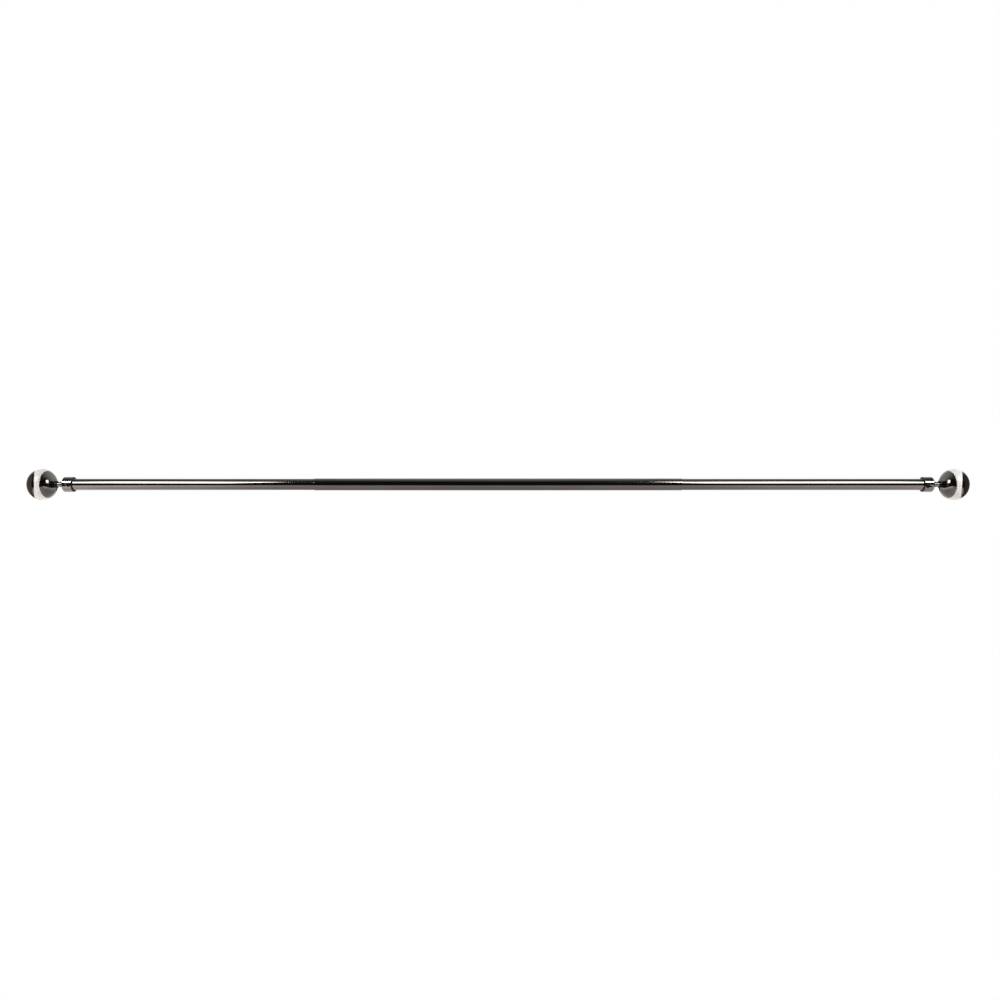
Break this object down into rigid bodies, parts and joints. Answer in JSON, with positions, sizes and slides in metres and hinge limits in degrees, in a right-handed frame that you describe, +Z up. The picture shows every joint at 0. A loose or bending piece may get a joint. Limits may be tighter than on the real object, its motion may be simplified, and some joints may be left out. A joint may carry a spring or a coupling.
{
  "type": "curtain rod",
  "caption": "Telescoping round metal curtain rod with a screw-on collar, slim neck and banded ball finial at each end.",
  "frame": {"origin": "middle of the rod's length, on its axis, which is also the centre of its bounding box", "axes": "+X along the rod towards the right end, -Y towards the room, +Z up as the rod hangs"},
  "size_m": [2.128, 0.0704, 0.0704],
  "materials": {
    "black_nickel": "polished black nickel plating",
    "black_steel": "blackened steel",
    "zinc": "bright zinc plating",
    "white_resin": "polished white resin",
    "nylon": "natural nylon"
  },
  "bodies": {
    "centre": {"centre_tube": "black_nickel"},
    "left_glide": {"left_glide": "nylon"},
    "left_tube": {"left_slide_tube": "black_nickel"},
    "left_collar": {"left_collar": "black_nickel", "left_collar_nut": "zinc"},
    "left_screw": {"left_set_screw": "black_steel"},
    "left_finial": {"left_neck": "black_nickel", "left_hub_washer": "black_steel", "left_inner_cap": "black_nickel", "left_band": "white_resin", "left_outer_cap": "black_nickel", "left_cap_boss": "zinc", "left_stud": "zinc"},
    "right_glide": {"right_glide": "nylon"},
    "right_tube": {"right_slide_tube": "black_nickel"},
    "right_collar": {"right_collar": "black_nickel", "right_collar_nut": "zinc"},
    "right_screw": {"right_set_screw": "black_steel"},
    "right_finial": {"right_neck": "black_nickel", "right_hub_washer": "black_steel", "right_inner_cap": "black_nickel", "right_band": "white_resin", "right_outer_cap": "black_nickel", "right_cap_boss": "zinc", "right_stud": "zinc"}
  },
  "joints": [
    {"name": "left_telescope", "type": "slide", "parent": "centre", "child": "left_glide", "axis": [-1, 0, 0], "range_m": [-0.3, 0.04]},
    {"name": "left_tube_twist", "type": "hinge", "parent": "left_glide", "child": "left_tube", "pos_m": [-0.316, 0, 0], "axis": [-1, 0, 0], "continuous": true},
    {"name": "left_collar_pull", "type": "slide", "parent": "left_tube", "child": "left_collar", "axis": [-1, 0, 0], "range_m": [0, 0.03]},
    {"name": "left_finial_unscrew", "type": "hinge", "parent": "left_collar", "child": "left_finial", "pos_m": [-1.0334, 0, 0], "axis": [-1, 0, 0], "continuous": true},
    {"name": "left_set_screw_turn", "type": "hinge", "parent": "left_collar", "child": "left_screw", "pos_m": [-0.9665, 0, 0], "axis": [0, -0.9962, -0.0872], "continuous": true},
    {"name": "right_telescope", "type": "slide", "parent": "centre", "child": "right_glide", "axis": [1, 0, 0], "range_m": [-0.3, 0.04]},
    {"name": "right_tube_twist", "type": "hinge", "parent": "right_glide", "child": "right_tube", "pos_m": [0.316, 0, 0], "axis": [1, 0, 0], "continuous": true},
    {"name": "right_collar_pull", "type": "slide", "parent": "right_tube", "child": "right_collar", "axis": [1, 0, 0], "range_m": [0, 0.03]},
    {"name": "right_finial_unscrew", "type": "hinge", "parent": "right_collar", "child": "right_finial", "pos_m": [1.0334, 0, 0], "axis": [1, 0, 0], "continuous": true},
    {"name": "right_set_screw_turn", "type": "hinge", "parent": "right_collar", "child": "right_screw", "pos_m": [0.9665, 0, 0], "axis": [0, -0.9703, -0.2419], "continuous": true}
  ]
}
